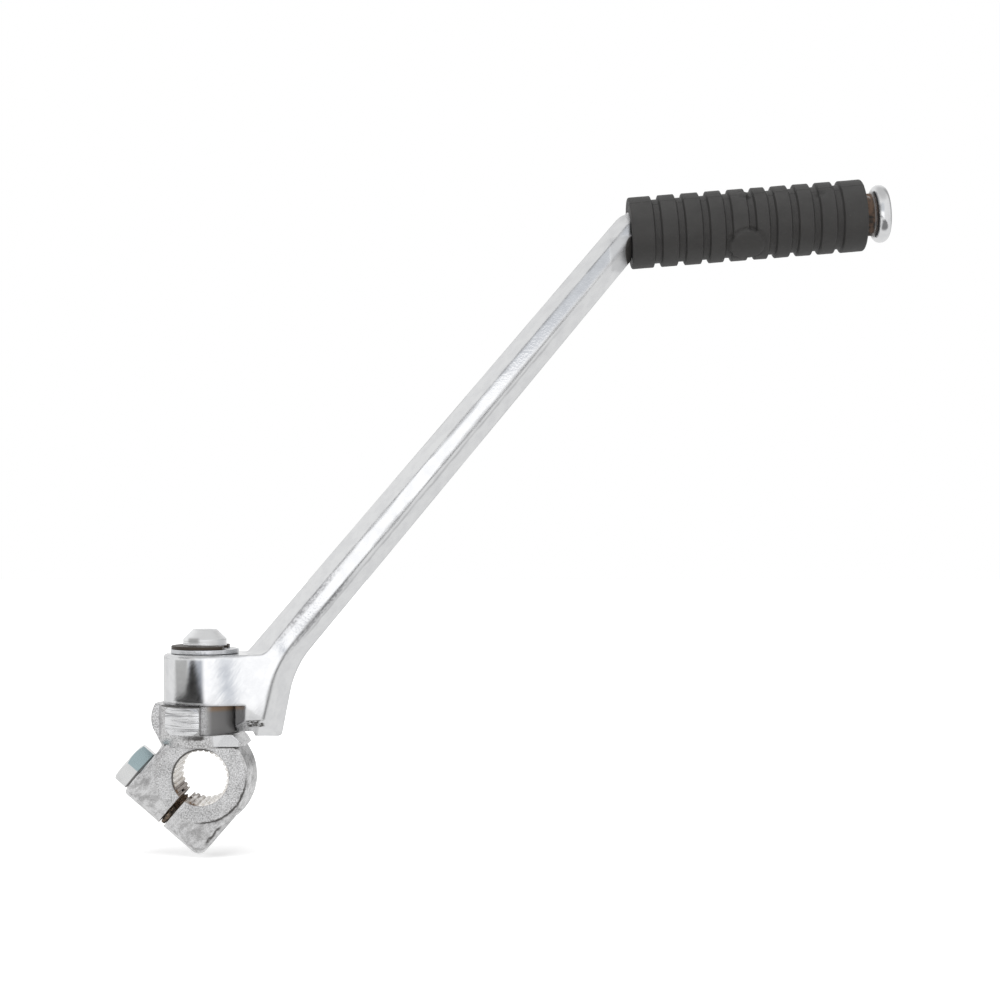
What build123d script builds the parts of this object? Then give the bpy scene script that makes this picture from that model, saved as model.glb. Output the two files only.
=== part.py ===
from build123d import *
import math
import os

# A folding kick start lever. The origin is where the kick shaft's axis (Y) crosses the lever's pivot
# axis (Z). X points along the folded lever, and -Y is the outer side, towards which the lever swings.
# Sizes are in millimetres and degrees.

# Clamp on the kick shaft
BORE_R = 8.0
SPLINE_DEPTH = 0.5
SPLINE_COUNT = 30
SPLINE_LAND_SHARE = 0.5
CLAMP_WIDTH = 17.4
RING_R = 16.2
RING_DRAFT = 12.0
RING_EDGE_R = 1.2
SLIT_ANGLE = 229.0
SLIT_WIDTH = 2.0
EAR_R = 8.2
EAR_OUTER = 15.8
EAR_EDGE_R = 3.0
SEAT_EDGE_R = 1.2

# Pinch bolt
BOLT_R = 4.0
BOLT_TO_SHAFT = 0.2
BOLT_HOLE_PLAY = 0.25
THREAD_PLAY = 0.02
BOLT_SEAT = 15.2
BOLT_HEAD_FLATS = 13.0
BOLT_HEAD_HEIGHT = 5.3
BOLT_HEAD_TURN = 37.0
BOLT_HEAD_CHAMFER = 0.7
BOLT_END_INSET = 0.7
SPOT_FACE_PLAY = 0.3

# Hub and pivot spigot
HUB_TOP = 22.1
BOSS_SHIFT = 2.0
BOSS_R = 14.4
BOSS_TOP_R = 13.3
BOSS_WAIST_R = 13.0
BOSS_FOOT_R = 11.3
BOSS_WAIST_Z = 12.8
BOSS_FOOT_Z = 9.3
BOSS_BULGE_Z = 16.5
PATCH_R = 14.0
PATCH_FROM = -163.0
RELIEF_R = 10.2
LEDGE_FROM_X = 3.0
LEDGE_REACH = 15.2
LEDGE_FOOT_Z = 9.5
LEDGE_Z = 13.2
LEDGE_PROUD = 0.7
LEDGE_END_R = 16.4
SPIGOT_R = 6.7
SPIGOT_GROOVE_R = 5.0
SPIGOT_HEAD = 5.05
SPIGOT_CHAMFER = 3.0

# Lever eye and heel
PIVOT_PLAY = 0.05
AXIAL_PLAY = 0.1
EYE_R = 12.7
EYE_HEIGHT = 15.35
HEEL_REACH = 23.9
HEEL_BOTTOM_Z = 11.7
HEEL_LEAN = 79.0
HEEL_BLEND_R = 30.0
HEEL_CORNER_R = 1.5
EYE_BEND_R = 4.0
EYE_EDGE_R = 1.2
TAIL_PLAY = 0.2
TAIL_FLANK_Y = 7.0
LEDGE_PLAY = 0.4
FOLD_ANGLE = 52.0
STOP_PLAY = 1.0

# Lever arm
WALL_DRAFT = 30.0
FACE_RECEDE = 10.0
ARM_ROOT_X = 15.8
ARM_ROOT_WIDTH = 14.8
ARM_END_WIDTH = 11.8
ARM_ROOT_HALF_DEPTH = 8.2
ARM_END_HALF_DEPTH = 7.0
ARM_FACE_BLEND_R = 60.0
ARM_SHOULDER_R = 8.0
PARTING_R = 0.8
CREASE_R = 1.1

# Pedal
PEDAL_X = 131.5
PEDAL_Z = 167.5
PEDAL_TILT = 4.5
PEG_ROOT = 0.3
PEG_R = 6.5
PEG_NECK = 3.2
BUTTON_R = 8.85
BUTTON_THICK = 4.7
BUTTON_EDGE_R = 2.2

# Pedal rubber
RUBBER_R = 11.0
RUBBER_FIT = 0.05
RUBBER_SEAT_GAP = 0.05
RIB_COUNT = 10
RIB_WIDTH = 4.7
END_RIB_WIDTH = 6.9
GROOVE_WIDTH = 2.3
GROOVE_DEPTH = 1.2
GROOVE_WALL_SLOPE = 0.3
PAD_R = 5.5
PAD_RISE = 0.25
PAD_ANGLE = -45.0
PAD_FROM_END = 35.0
PAD_FOOT = 0.8
GATE_R = 1.6
GATE_RISE = 0.15
GATE_ANGLE = 48.0

# Washer and retaining ring
WASHER_R = 10.45
WASHER_THICK = 1.3
WASHER_PLAY = 0.15
CLIP_R = 10.3
CLIP_THICK = 1.0
CLIP_PLAY = 0.03
CLIP_MOUTH = 8.6
CLIP_REACH = 6.6
CLIP_RECESS_R = 1.9
CLIP_RECESS_ANGLE = 118.0

# Detent
BALL_R = 2.38
BALL_HOLE_PLAY = 0.07
BALL_RADIUS = 9.6
BALL_ANGLE = 155.0
BALL_SUNK = 0.05
BALL_LIFT = 0.8
POCKET_PLAY = 0.15
DETENT_FLOOR_Z = 10.6
SPRING_WIRE_R = 0.3
SPRING_COIL_R = 1.75
SPRING_TURNS = 4
SPRING_WIRE_SIDES = 6
SPRING_PLAY = 0.1

# A length that reaches past the whole part, for cuts, and how near an edge is to the place it is looked for
PAST = 300.0
NEAR = 0.01

# Places worked out from the sizes above
BOLT_OFFSET = BORE_R + BOLT_TO_SHAFT + BOLT_R
EYE_BOTTOM = HUB_TOP + AXIAL_PLAY
EYE_TOP = EYE_BOTTOM + EYE_HEIGHT
ROOT_Z = (EYE_BOTTOM + EYE_TOP) / 2
WASHER_BOTTOM = EYE_TOP + AXIAL_PLAY
CLIP_BOTTOM = WASHER_BOTTOM + WASHER_THICK
SPIGOT_TOP = CLIP_BOTTOM + CLIP_THICK + SPIGOT_HEAD
TAIL_X = RELIEF_R + TAIL_PLAY
RUBBER_LENGTH = 2 * END_RIB_WIDTH + (RIB_COUNT - 2) * RIB_WIDTH + (RIB_COUNT - 1) * GROOVE_WIDTH
BUTTON_FROM = RUBBER_SEAT_GAP + RUBBER_LENGTH + PEG_NECK
BALL_Z = HUB_TOP - BALL_SUNK - BALL_R

SLIT_DIR = Vector(math.cos(math.radians(SLIT_ANGLE)), 0, math.sin(math.radians(SLIT_ANGLE)))
BOLT_DIR = Vector(SLIT_DIR.Z, 0, -SLIT_DIR.X)
# Drawn on this plane, x runs along the slit from the shaft's axis, and the normal runs to the bolt's head.
EAR_PLANE = Plane(origin=(0, 0, 0), x_dir=SLIT_DIR, z_dir=BOLT_DIR)
# In this place, x runs along the pedal from the rubber's inner end and z is up.
PEDAL = Pos(PEDAL_X, 0, PEDAL_Z) * Rot(Y=-PEDAL_TILT)


def closed(*points):
    """Face inside straight lines through the points."""
    return make_face(Polyline(*points, close=True))


def polar(radius, angle):
    return (radius * math.cos(math.radians(angle)), radius * math.sin(math.radians(angle)))


def sector(radius, start, end):
    """Face of a wedge of a circle about the pivot, from one angle to another."""
    steps = 8
    rim = [polar(radius, start + (end - start) * i / steps) for i in range(steps + 1)]
    return closed((0, 0), *rim)


def meet(p, p_dir, q, q_dir):
    """Point where two lines in a plane cross."""
    turn = p_dir[0] * q_dir[1] - p_dir[1] * q_dir[0]
    along = ((q[0] - p[0]) * q_dir[1] - (q[1] - p[1]) * q_dir[0]) / turn
    return (p[0] + along * p_dir[0], p[1] + along * p_dir[1])


def ahead(point, direction, distance):
    return (point[0] + distance * direction[0], point[1] + distance * direction[1])


def rise(bottom, top):
    """Moves a shape centred on the origin so that it stands between two heights."""
    return Pos(0, 0, (bottom + top) / 2)


def tail_flank_angle(radius):
    """Angle from the tail's middle to where its 45 degree flank crosses a circle about the pivot."""
    step = TAIL_X - TAIL_FLANK_Y
    x = (step + math.sqrt(2 * radius**2 - step**2)) / 2
    return math.degrees(math.acos(x / radius))


def clamp_ring():
    half = CLAMP_WIDTH / 2
    face_r = RING_R - half * math.tan(math.radians(RING_DRAFT))
    section = closed((0, -half), (face_r, -half), (RING_R, 0), (face_r, half), (0, half))
    outer = section.vertices().filter_by(lambda v: v.X > face_r - RING_EDGE_R)
    return revolve(fillet(outer, RING_EDGE_R), Axis.Y)


def clamp_ears():
    """Both ears in one, with a round end about the bolt and softened outer edges."""
    section = Pos(BOLT_OFFSET / 2, 0) * Rectangle(BOLT_OFFSET, 2 * EAR_R)
    section += Pos(BOLT_OFFSET, 0) * Circle(EAR_R)
    ears = extrude(EAR_PLANE.offset(-EAR_OUTER) * section, BOLT_SEAT + EAR_OUTER)
    faces = ears.faces().sort_by(Axis((0, 0, 0), BOLT_DIR))
    inner = (0, 0, 0)
    ears = fillet(faces[0].edges().sort_by_distance(inner)[1:], EAR_EDGE_R)
    seat = ears.faces().sort_by(Axis((0, 0, 0), BOLT_DIR))[-1]
    return fillet(seat.edges().sort_by_distance(inner)[1:], SEAT_EDGE_R)


def hub_boss():
    """Barrel-shaped forged boss, a little off the pivot, with the stop lug left by the tail's sweep."""
    waist = (BOSS_WAIST_R, BOSS_WAIST_Z)
    rim = (BOSS_TOP_R, HUB_TOP)
    sides = Polyline((0, HUB_TOP), (0, BOSS_FOOT_Z), (BOSS_FOOT_R, BOSS_FOOT_Z), waist)
    bulge = ThreePointArc(waist, (BOSS_R, BOSS_BULGE_Z), rim)
    lid = Line(rim, (0, HUB_TOP))
    barrel = revolve(Plane.XZ * make_face(sides + bulge + lid), Axis.Z)
    boss = Pos(-BOSS_SHIFT, 0, 0) * barrel
    lug_from = -FOLD_ANGLE - tail_flank_angle(PATCH_R) - STOP_PLAY
    lug_to = tail_flank_angle(BOSS_R) + STOP_PLAY
    turned = sector(PAST, PATCH_FROM, lug_from) - Circle(PATCH_R)
    boss -= extrude(Pos(0, 0, BOSS_FOOT_Z) * turned, PAST)
    core = rise(BOSS_FOOT_Z, HUB_TOP) * Cylinder(RELIEF_R, HUB_TOP - BOSS_FOOT_Z)
    swept = sector(PAST, lug_from, lug_to) - Circle(RELIEF_R)
    sweep_room = extrude(Pos(0, 0, LEDGE_Z) * swept, PAST)
    return boss + core, sweep_room


def tail_ledge():
    """Shelf on the clamp ring that the lever's tail passes around. It rounds off into the ring at its end."""
    strip = Pos(LEDGE_FROM_X + PAST / 2, 0) * Rectangle(PAST, CLAMP_WIDTH + 2 * LEDGE_PROUD)
    plan = strip & Circle(LEDGE_REACH)
    shelf = extrude(Pos(0, 0, LEDGE_FOOT_Z) * plan, LEDGE_Z - LEDGE_FOOT_Z)
    return shelf & Rot(X=90) * Cylinder(LEDGE_END_R, PAST)


def spigot():
    """Turned pivot with the retaining ring's groove and a deep chamfer at its end."""
    groove_top = CLIP_BOTTOM + CLIP_THICK + CLIP_PLAY
    section = closed(
        (0, LEDGE_Z),
        (SPIGOT_R, LEDGE_Z),
        (SPIGOT_R, CLIP_BOTTOM - CLIP_PLAY),
        (SPIGOT_GROOVE_R, CLIP_BOTTOM - CLIP_PLAY),
        (SPIGOT_GROOVE_R, groove_top),
        (SPIGOT_R, groove_top),
        (SPIGOT_R, SPIGOT_TOP - SPIGOT_CHAMFER),
        (SPIGOT_R - SPIGOT_CHAMFER, SPIGOT_TOP),
        (0, SPIGOT_TOP),
    )
    return revolve(Plane.XZ * section, Axis.Z)


def splined_bore():
    """Hole for the kick shaft: a round bore with a V-shaped groove between every two teeth."""
    pitch = 360 / SPLINE_COUNT
    half_mouth = pitch * (1 - SPLINE_LAND_SHARE) / 2
    root_r = BORE_R + SPLINE_DEPTH
    groove = closed(
        (0, 0),
        polar(BORE_R, -half_mouth),
        polar(root_r, -half_mouth / 2),
        polar(root_r, half_mouth / 2),
        polar(BORE_R, half_mouth),
    )
    outline = Circle(BORE_R) + [Rot(Z=i * pitch) * groove for i in range(SPLINE_COUNT)]
    return extrude(Plane.XZ * outline, PAST / 2, both=True)


def along_bolt(radius, start, end):
    """Round bar on the bolt's axis between two distances from the slit's middle."""
    return extrude(EAR_PLANE.offset(start) * (Pos(BOLT_OFFSET, 0) * Circle(radius)), end - start)


def kick_joint():
    boss, sweep_room = hub_boss()
    joint = clamp_ring() + clamp_ears() + tail_ledge() + boss
    joint -= sweep_room
    joint += spigot()
    joint -= splined_bore()
    slit = Pos(PAST / 2, 0) * Rectangle(PAST, PAST)
    joint -= extrude(EAR_PLANE.offset(-SLIT_WIDTH / 2) * slit, SLIT_WIDTH)
    joint -= along_bolt(BOLT_R + BOLT_HOLE_PLAY, 0, PAST)
    joint -= along_bolt(BOLT_R + THREAD_PLAY, -PAST, 0)
    corner_r = BOLT_HEAD_FLATS / math.sqrt(3)
    joint -= along_bolt(corner_r + SPOT_FACE_PLAY, BOLT_SEAT, BOLT_SEAT + 2 * BOLT_HEAD_HEIGHT)
    ball_hole = Pos(*polar(BALL_RADIUS, BALL_ANGLE), DETENT_FLOOR_Z) * Circle(BALL_R + BALL_HOLE_PLAY)
    joint -= extrude(ball_hole, PAST)
    return joint


def pinch_bolt():
    hexagon = RegularPolygon(BOLT_HEAD_FLATS / 2, 6, major_radius=False, rotation=BOLT_HEAD_TURN)
    head = extrude(EAR_PLANE.offset(BOLT_SEAT) * (Pos(BOLT_OFFSET, 0) * hexagon), BOLT_HEAD_HEIGHT)
    corner_r = BOLT_HEAD_FLATS / math.sqrt(3)
    round_blank = along_bolt(corner_r, BOLT_SEAT, BOLT_SEAT + BOLT_HEAD_HEIGHT)
    end_rim = round_blank.edges().sort_by(Axis((0, 0, 0), BOLT_DIR))[-1]
    head &= chamfer(end_rim, BOLT_HEAD_CHAMFER, 2 * BOLT_HEAD_CHAMFER)
    shank = along_bolt(BOLT_R, BOLT_END_INSET - EAR_OUTER, BOLT_SEAT)
    tip_rim = shank.edges().sort_by(Axis((0, 0, 0), BOLT_DIR))[0]
    return head + chamfer(tip_rim, BOLT_HEAD_CHAMFER)


def drafted(outline, depth):
    """Solid on both sides of the parting plane, whose walls lean in by the forging's draft."""
    return extrude(Plane.XZ * outline, depth, both=True, taper=WALL_DRAFT)


def face_depth(x):
    """Half the lever's depth where its faces recede from the eye, which they leave at a tangent."""
    recede = math.radians(FACE_RECEDE)
    return EYE_R / math.cos(recede) - x * math.tan(recede)


def lever_walls():
    """Solid between the lever's drafted side walls, as drawn on the parting plane.

    The outer wall runs up the heel and along the arm's underside. The inner wall runs along the arm's upper
    side and over the shoulder onto the pedal. Below the eye's top the inner wall stays open.
    """
    root = (ARM_ROOT_X, ROOT_Z)
    reach = math.hypot(PEDAL_X - root[0], PEDAL_Z - root[1])
    along = ((PEDAL_X - root[0]) / reach, (PEDAL_Z - root[1]) / reach)
    up = (-along[1], along[0])
    pedal_dir = polar(1, PEDAL_TILT)
    pedal_up = (-pedal_dir[1], pedal_dir[0])

    low_root = ahead(root, up, -ARM_ROOT_WIDTH / 2)
    low_end = ahead((PEDAL_X, PEDAL_Z), up, -ARM_END_WIDTH / 2)
    low_dir = ((low_end[0] - low_root[0]) / reach, (low_end[1] - low_root[1]) / reach)
    toe = (HEEL_REACH, HEEL_BOTTOM_Z)
    bend = meet(toe, polar(1, HEEL_LEAN), low_root, low_dir)
    past_end = ahead(low_end, low_dir, PAST / 2)
    heel_line = FilletPolyline(toe, bend, past_end, radius=HEEL_BLEND_R)
    far_side = Polyline(past_end, (-PAST, PAST), (-PAST, HEEL_BOTTOM_Z), toe)
    outer = drafted(make_face(heel_line + far_side), EYE_R)

    high_root = ahead(root, up, ARM_ROOT_WIDTH / 2)
    high_end = ahead((PEDAL_X, PEDAL_Z), up, ARM_END_WIDTH / 2)
    high_dir = ((high_end[0] - high_root[0]) / reach, (high_end[1] - high_root[1]) / reach)
    peg_top = ahead((PEDAL_X, PEDAL_Z), pedal_up, PEG_R)
    shoulder = meet(high_root, high_dir, peg_top, pedal_dir)
    before_root = ahead(high_root, high_dir, -PAST / 2)
    past_peg = ahead(peg_top, pedal_dir, PAST / 2)
    back_line = FilletPolyline(before_root, shoulder, past_peg, radius=ARM_SHOULDER_R)
    near_side = Polyline(past_peg, (past_peg[0], -PAST), (before_root[0], -PAST), before_root)
    inner = drafted(make_face(back_line + near_side), face_depth(ARM_ROOT_X))
    open_low = rise(EYE_TOP - PAST, EYE_TOP) * Box(2 * PAST, 2 * PAST, PAST)
    return outer & (inner + open_low)


def lever_depth():
    """Prism that limits the lever's depth: it leaves the eye at a tangent and thins out along the arm."""
    recede = math.radians(FACE_RECEDE)
    start = (EYE_R * math.sin(recede), EYE_R * math.cos(recede))
    run = (start[1] - ARM_ROOT_HALF_DEPTH) / math.tan(recede)
    knee = (start[0] + run, ARM_ROOT_HALF_DEPTH)
    end = (PEDAL_X + PEG_R, ARM_END_HALF_DEPTH)
    front = FilletPolyline((0, start[1]), start, knee, end, radius=(0, ARM_FACE_BLEND_R))
    half = make_face(front + Polyline(end, (end[0], 0), (0, 0), (0, start[1])))
    return extrude(half + mirror(half, Plane.XZ), PAST)


def soften(body):
    """Rounds the heel's toe, the parting line, the bend at the eye and the arm's outer creases."""
    toe = Vector(HEEL_REACH, 0, HEEL_BOTTOM_Z)
    wide = [e for e in body.edges() if e.bounding_box().size.Y > PARTING_R]
    toe_edges = [e for e in wide if e.distance_to(toe) < NEAR]
    body = fillet(toe_edges, HEEL_CORNER_R)
    flat = [e for e in body.edges() if e.bounding_box().size.Y < NEAR]
    parting = [e for e in flat if abs((e @ 0.5).Y) < NEAR]
    body = fillet(parting, PARTING_R)
    curved = body.edges().filter_by(GeomType.LINE, reverse=True)
    level = [e for e in curved if e.bounding_box().size.Z < NEAR]
    bend = [e for e in level if abs((e @ 0.5).Z - EYE_TOP) < NEAR]
    body = fillet(bend, EYE_BEND_R)
    curved = body.edges().filter_by(GeomType.LINE, reverse=True)
    slope = (PEDAL_Z - ROOT_Z) / (PEDAL_X - ARM_ROOT_X)
    deep = [e for e in curved if abs((e @ 0.5).Y) > ARM_END_HALF_DEPTH - CREASE_R]
    arm = [e for e in deep if (TAIL_X + ARM_ROOT_X) / 2 < (e @ 0.5).X < PEDAL_X - ARM_END_HALF_DEPTH]
    outer = [e for e in arm if (e @ 0.5).Z - ROOT_Z < slope * ((e @ 0.5).X - ARM_ROOT_X)]
    return fillet(outer, CREASE_R)


def eye_edge():
    """What rounding takes off the eye's top edge. On both faces it runs out before the bend."""
    angle = 90 - FACE_RECEDE / 2
    outward = Vector(*polar(1, angle), 0)
    place = Plane((*polar(EYE_R, angle), EYE_TOP), x_dir=outward, z_dir=outward.cross(Vector(0, 0, 1)))
    scoop = Rectangle(2 * EYE_EDGE_R, 2 * EYE_EDGE_R) - Pos(-EYE_EDGE_R, -EYE_EDGE_R) * Circle(EYE_EDGE_R)
    around = revolve(place * scoop, Axis.Z, 360 - 2 * angle)
    run_out = extrude(place * scoop, ARM_ROOT_X)
    return around + run_out + mirror(run_out, Plane.XZ)


def kick_lever():
    walls = lever_walls() & lever_depth()
    up_to_rubber = PEDAL * Pos(-PAST / 2, 0, 0) * Box(PAST, PAST, 2 * PAST)
    body = soften(walls & up_to_rubber)
    eye = rise(EYE_BOTTOM, EYE_TOP) * Cylinder(EYE_R, EYE_HEIGHT)
    under_eye = Pos(TAIL_X - PAST / 2, 0, EYE_BOTTOM - PAST / 2) * Box(PAST, PAST, PAST)
    flank = closed((0, TAIL_FLANK_Y - TAIL_X), (0, PAST), (PAST - TAIL_FLANK_Y + TAIL_X, PAST))
    flanks = extrude(Pos(0, 0, EYE_BOTTOM) * (flank + mirror(flank, Plane.XZ)), -PAST)
    over_ledge = LEDGE_Z + LEDGE_PLAY
    ledge_room = rise(over_ledge - PAST, over_ledge) * Cylinder(LEDGE_REACH + LEDGE_PLAY, PAST)
    lever = body - under_eye - flanks - ledge_room + eye - eye_edge()

    peg_from = -PEG_ROOT
    peg_to = BUTTON_FROM + BUTTON_THICK / 2
    lever += PEDAL * Pos((peg_from + peg_to) / 2, 0, 0) * Rot(Y=90) * Cylinder(PEG_R, peg_to - peg_from)
    button = Cylinder(BUTTON_R, BUTTON_THICK)
    button = fillet(button.edges().filter_by(GeomType.CIRCLE), BUTTON_EDGE_R)
    lever += PEDAL * Pos(BUTTON_FROM + BUTTON_THICK / 2, 0, 0) * Rot(Y=90) * button

    lever -= rise(0, 2 * EYE_TOP) * Cylinder(SPIGOT_R + PIVOT_PLAY, 2 * EYE_TOP)
    for fold in (0, FOLD_ANGLE):
        spot = polar(BALL_RADIUS, BALL_ANGLE + fold)
        lever -= Pos(*spot, BALL_Z + BALL_LIFT) * Sphere(BALL_R + POCKET_PLAY)
    return lever


def pedal_rubber():
    """Ribbed sleeve, with a round pad on its outer lower side and the mould's gate mark above it."""
    wall_run = GROOVE_DEPTH * GROOVE_WALL_SLOPE
    floor_r = RUBBER_R - GROOVE_DEPTH
    outline = [(0, RUBBER_R)]
    rib_end = END_RIB_WIDTH
    for _ in range(RIB_COUNT - 1):
        next_rib = rib_end + GROOVE_WIDTH
        outline.append((rib_end, RUBBER_R))
        outline.append((rib_end + wall_run, floor_r))
        outline.append((next_rib - wall_run, floor_r))
        outline.append((next_rib, RUBBER_R))
        rib_end = next_rib + RIB_WIDTH
    outline.append((RUBBER_LENGTH, RUBBER_R))
    bore_r = PEG_R + RUBBER_FIT
    section = closed(*outline, (RUBBER_LENGTH, bore_r), (0, bore_r))
    sleeve = revolve(Plane.XZ * section, Axis.X)
    for radius, rim, angle in ((PAD_R, PAD_RISE, PAD_ANGLE), (GATE_R, GATE_RISE, GATE_ANGLE)):
        disc = Rot(X=90 - angle) * extrude(Pos(0, 0, bore_r + PAD_FOOT) * Circle(radius), RUBBER_R)
        skin = Rot(Y=90) * Cylinder(RUBBER_R + rim, PAST)
        sleeve += Pos(PAD_FROM_END, 0, 0) * (disc & skin)
    return PEDAL * Pos(RUBBER_SEAT_GAP, 0, 0) * sleeve


def thrust_washer():
    washer = Cylinder(WASHER_R, WASHER_THICK) - Cylinder(SPIGOT_R + WASHER_PLAY, WASHER_THICK)
    return rise(WASHER_BOTTOM, CLIP_BOTTOM) * washer


def retaining_ring():
    """E-shaped ring: open towards the lever's heel, held by three lobes on the groove's floor."""
    inner_r = SPIGOT_GROOVE_R + CLIP_PLAY
    shape = Circle(CLIP_R) - Circle(inner_r)
    shape -= Pos(PAST / 2, 0) * Rectangle(PAST, CLIP_MOUTH)
    shape -= Pos(CLIP_REACH + PAST / 2, 0) * Rectangle(PAST, PAST)
    for side in (-1, 1):
        shape -= Pos(*polar(inner_r, side * CLIP_RECESS_ANGLE)) * Circle(CLIP_RECESS_R)
    return extrude(Pos(0, 0, CLIP_BOTTOM) * shape, CLIP_THICK)


def detent_ball():
    return Pos(*polar(BALL_RADIUS, BALL_ANGLE), BALL_Z) * Sphere(BALL_R)


def detent_spring():
    """Coil spring between the floor of the ball's hole and the ball."""
    seat_drop = math.sqrt(BALL_R**2 - SPRING_COIL_R**2)
    foot = DETENT_FLOOR_Z + SPRING_PLAY + SPRING_WIRE_R
    top = BALL_Z - seat_drop - SPRING_PLAY - 2 * SPRING_WIRE_R
    path = Helix(pitch=(top - foot) / SPRING_TURNS, height=top - foot, radius=SPRING_COIL_R)
    wire = Plane(origin=path @ 0, z_dir=path % 0) * RegularPolygon(SPRING_WIRE_R, SPRING_WIRE_SIDES)
    return Pos(*polar(BALL_RADIUS, BALL_ANGLE), foot) * sweep(wire, path, is_frenet=True)


PIECES = (
    kick_joint,
    kick_lever,
    pedal_rubber,
    thrust_washer,
    retaining_ring,
    pinch_bolt,
    detent_ball,
    detent_spring,
)

os.makedirs("parts", exist_ok=True)
for piece in PIECES:
    export_step(piece(), f"parts/{piece.__name__}.step")
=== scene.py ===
# %% [markdown]
# A kick start lever turns a small engine over by foot. This one has a forged joint that is pinched on a
# toothed shaft, a chromed lever that folds about the joint's spigot, and a ribbed rubber pedal. The CAD
# model already holds every shape that fits, moves or carries load, so this lesson loads it as a fixed
# frame. It then gives each piece its finish, and adds the small forms that CAD leaves plain.

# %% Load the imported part
import math

import bpy
import numpy as np
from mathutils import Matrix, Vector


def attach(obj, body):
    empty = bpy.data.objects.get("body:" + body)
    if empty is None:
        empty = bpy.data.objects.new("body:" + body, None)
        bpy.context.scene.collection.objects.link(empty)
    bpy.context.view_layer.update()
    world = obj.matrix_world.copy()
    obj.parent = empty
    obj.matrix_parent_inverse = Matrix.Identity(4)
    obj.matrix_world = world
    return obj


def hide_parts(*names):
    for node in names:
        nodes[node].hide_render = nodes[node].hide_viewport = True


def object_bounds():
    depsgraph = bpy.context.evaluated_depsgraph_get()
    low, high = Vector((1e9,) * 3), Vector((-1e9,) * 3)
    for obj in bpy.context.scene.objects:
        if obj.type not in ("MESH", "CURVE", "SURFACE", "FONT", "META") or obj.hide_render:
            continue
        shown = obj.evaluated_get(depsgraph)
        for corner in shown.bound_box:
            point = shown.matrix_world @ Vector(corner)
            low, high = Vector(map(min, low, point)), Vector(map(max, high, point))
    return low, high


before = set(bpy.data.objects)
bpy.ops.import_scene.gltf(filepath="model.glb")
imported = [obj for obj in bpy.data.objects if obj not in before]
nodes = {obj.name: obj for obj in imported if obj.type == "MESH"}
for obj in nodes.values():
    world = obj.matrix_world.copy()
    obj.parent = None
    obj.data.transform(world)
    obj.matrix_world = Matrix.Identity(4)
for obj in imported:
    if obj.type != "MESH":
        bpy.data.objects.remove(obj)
cad_box = [list(corner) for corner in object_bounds()]
MM = 0.001
print("loaded", sorted(nodes))

# %% [markdown]
# Every new piece here is a grid of points, worked out as one numpy array and handed to Blender in one go.
# A grid can be closed in either direction, as a tube is, and its open ends can be closed with a flat lid.


# %% A mesh from a grid of points
def grid_piece(name, points, close_rows=False, lids=False):
    """Piece whose faces are the quads of a grid (rows, columns, xyz in metres), closed around its columns.

    With close_rows the last row joins the first. With lids the first and last rows become flat ends.
    """
    rows, columns = points.shape[:2]
    index = np.arange(rows * columns).reshape(rows, columns)
    index = np.hstack([index, index[:, :1]])
    if close_rows:
        index = np.vstack([index, index[:1]])
    corners = (index[:-1, :-1], index[:-1, 1:], index[1:, 1:], index[1:, :-1])
    faces = np.stack(corners, axis=-1).reshape(-1, 4).tolist()
    if lids:
        faces.append(index[0, :-1][::-1].tolist())
        faces.append(index[-1, :-1].tolist())
    mesh = bpy.data.meshes.new(name)
    mesh.from_pydata(points.reshape(-1, 3), [], faces)
    mesh.polygons.foreach_set("use_smooth", np.ones(len(faces), bool))
    mesh.update()
    piece = bpy.data.objects.new(name, mesh)
    bpy.context.scene.collection.objects.link(piece)
    print(name, "has", len(faces), "faces")
    return piece


def smooth_step(low, high, x):
    """0 below low, 1 above high, and in between three t squared minus two t cubed."""
    t = np.clip((x - low) / (high - low), 0.0, 1.0)
    return t * t * (3.0 - 2.0 * t)


# %% [markdown]
# The pedal rubber is a moulded sleeve. CAD has its ribs as plain rings, but real moulded ribs have soft
# edges, a thin line where the halves of the mould met, a mark where the rubber was let in, and a round
# pad. A sleeve is a profile turned about an axis, so its radius can be written as a function of two
# numbers: the distance along the pedal and the angle around it. Each detail then is one more term of that
# function.

# %% Pedal rubber: places
PEDAL_ORIGIN = np.array([131.5, 0.0, 167.5])
PEDAL_TILT = math.radians(4.5)
PEDAL_ALONG = np.array([math.cos(PEDAL_TILT), 0.0, math.sin(PEDAL_TILT)])
PEDAL_UP = np.array([-math.sin(PEDAL_TILT), 0.0, math.cos(PEDAL_TILT)])
PEDAL_FRONT = np.array([0.0, -1.0, 0.0])

SLEEVE_START = 0.05
SLEEVE_LENGTH = 72.1
SLEEVE_R = 11.0
SLEEVE_BORE_R = 6.55
END_ROUND = 0.6
GROOVE_DRIFT = np.array([0.0, 0.3, 0.7, 0.6, 0.8, 0.1, -0.1, -0.3, -0.3])
GROOVES = 8.05 + 7.0 * np.arange(9) + GROOVE_DRIFT
GROOVE_DEPTH = 1.2
GROOVE_FLOOR = 0.8
GROOVE_MOUTH = 1.4
WAVINESS = 0.03
PARTING_ANGLES = np.radians([48.0, 228.0])
PARTING_RISE = 0.16
PARTING_HALF = 0.2
PAD_ANGLE = math.radians(-45.0)
PAD_R = 5.3
PAD_RISE = 0.55
PAD_FROM_END = 35.0
PAD_MOAT = 0.3
GATE_R = 1.5
GATE_RISE = 0.2
GATE_MOAT = 0.1
DISC_SOFT = 0.35
MOAT_HALF = 0.35
NICK_PLACE = (58.6, math.radians(36.0))
NICK_R = 1.1
NICK_DEPTH = 1.0
print("sleeve of", SLEEVE_LENGTH, "mm with", len(GROOVES), "grooves")

# %% [markdown]
# The outer skin is one formula. Distances on the skin are worked out as the angle times the radius, so
# that a disc stays round where it wraps around the sleeve.


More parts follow.
